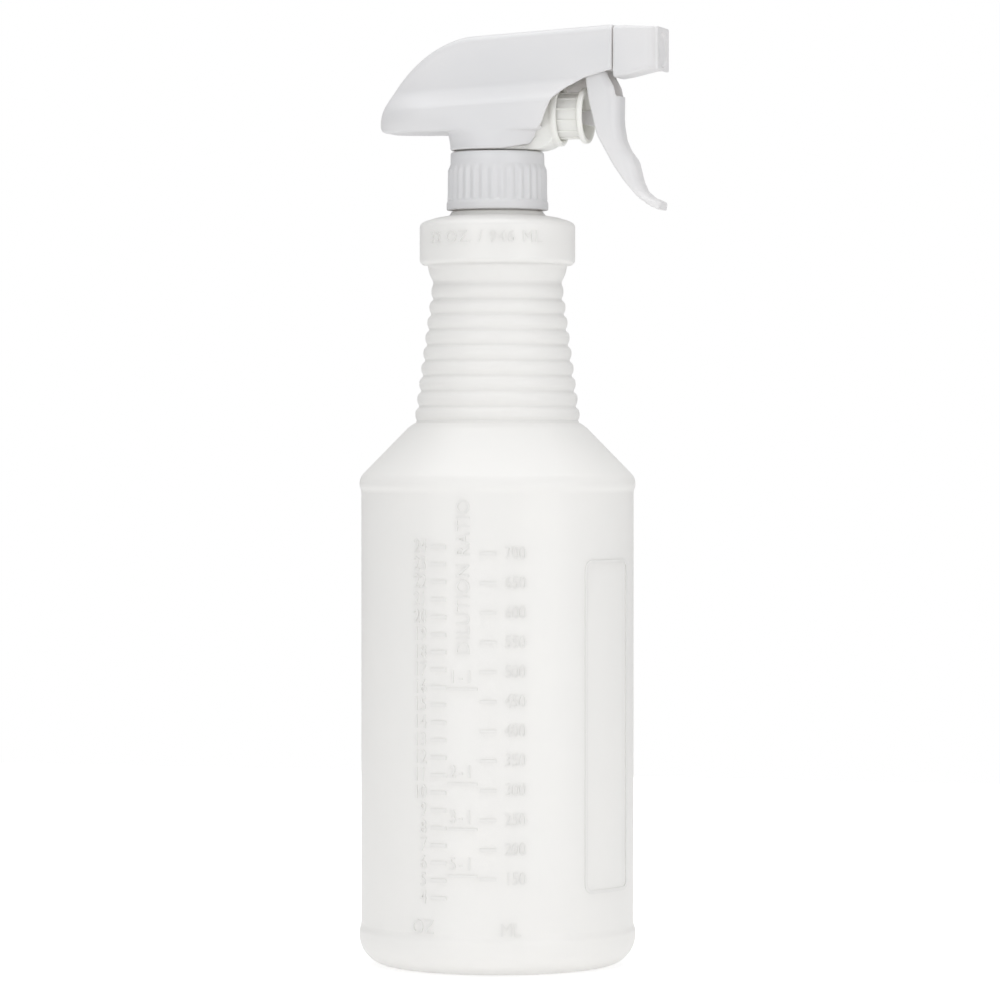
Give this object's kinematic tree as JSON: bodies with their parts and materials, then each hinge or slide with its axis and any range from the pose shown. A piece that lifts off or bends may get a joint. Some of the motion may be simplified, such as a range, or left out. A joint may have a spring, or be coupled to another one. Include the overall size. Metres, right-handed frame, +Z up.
{
  "type": "trigger spray bottle",
  "caption": "Round translucent plastic spray bottle with graduations, a ringed grip neck, a fluted screw closure and a white trigger sprayer with a square nozzle.",
  "frame": {"origin": "centre of the flat underside of the bottle's base", "axes": "+Z up along the bottle's axis, +X towards the nozzle, +Y to the left of someone looking along the spray"},
  "size_m": [0.0983, 0.0874, 0.2959],
  "materials": {
    "natural_hdpe": "translucent satin",
    "white_pp": "satin gloss",
    "white_pp_inner": "matt",
    "seal": "matt",
    "spring_steel": "drawn wire",
    "glass_ball": "polished"
  },
  "bodies": {
    "bottle": {"bottle": "natural_hdpe"},
    "sprayer": {"sprayer_body": "white_pp_inner", "shroud": "white_pp", "closure_gasket": "seal", "tube_retainer": "white_pp_inner", "dip_tube": "natural_hdpe", "channel_plug": "white_pp_inner", "spinner": "white_pp_inner", "return_spring": "spring_steel"},
    "closure": {"closure": "white_pp"},
    "trigger": {"trigger": "white_pp"},
    "piston": {"piston": "white_pp_inner", "piston_seal": "seal", "vent_seal": "seal"},
    "nozzle": {"nozzle": "white_pp", "nozzle_seal": "seal"},
    "inlet_ball": {"inlet_ball": "glass_ball"},
    "discharge_ball": {"discharge_ball": "glass_ball"}
  },
  "joints": [
    {"name": "sprayer_lift", "type": "slide", "parent": "bottle", "child": "sprayer", "axis": [0, 0, 1], "range_m": [0, 0.00396]},
    {"name": "closure_turn", "type": "hinge", "parent": "sprayer", "child": "closure", "pos_m": [0, 0, 0.25], "axis": [0, 0, 1], "range_deg": [0, 450]},
    {"name": "trigger_pull", "type": "hinge", "parent": "sprayer", "child": "trigger", "pos_m": [0.034, 0, 0.285], "axis": [0, 1, 0], "range_deg": [0, 20], "stiffness_Nm_per_rad": 0.3, "springref_deg": -22.92},
    {"name": "piston_stroke", "type": "slide", "parent": "sprayer", "child": "piston", "axis": [-1, 0, 0], "range_m": [0, 0.0061], "deforming": ["return_spring"]},
    {"name": "nozzle_turn", "type": "hinge", "parent": "sprayer", "child": "nozzle", "pos_m": [0.047, 0, 0.2875], "axis": [1, 0, 0], "continuous": true},
    {"name": "inlet_ball_lift", "type": "slide", "parent": "sprayer", "child": "inlet_ball", "axis": [0, 0, 1], "range_m": [0, 0.0007]},
    {"name": "discharge_ball_lift", "type": "slide", "parent": "sprayer", "child": "discharge_ball", "axis": [0, 0, 1], "range_m": [0, 0.0005]}
  ],
  "couplings": [
    {"joint": "closure_turn", "follows": "sprayer_lift", "rad_per_m": 1979},
    {"joint": "piston_stroke", "follows": "trigger_pull", "m_per_rad": 0.0172}
  ]
}
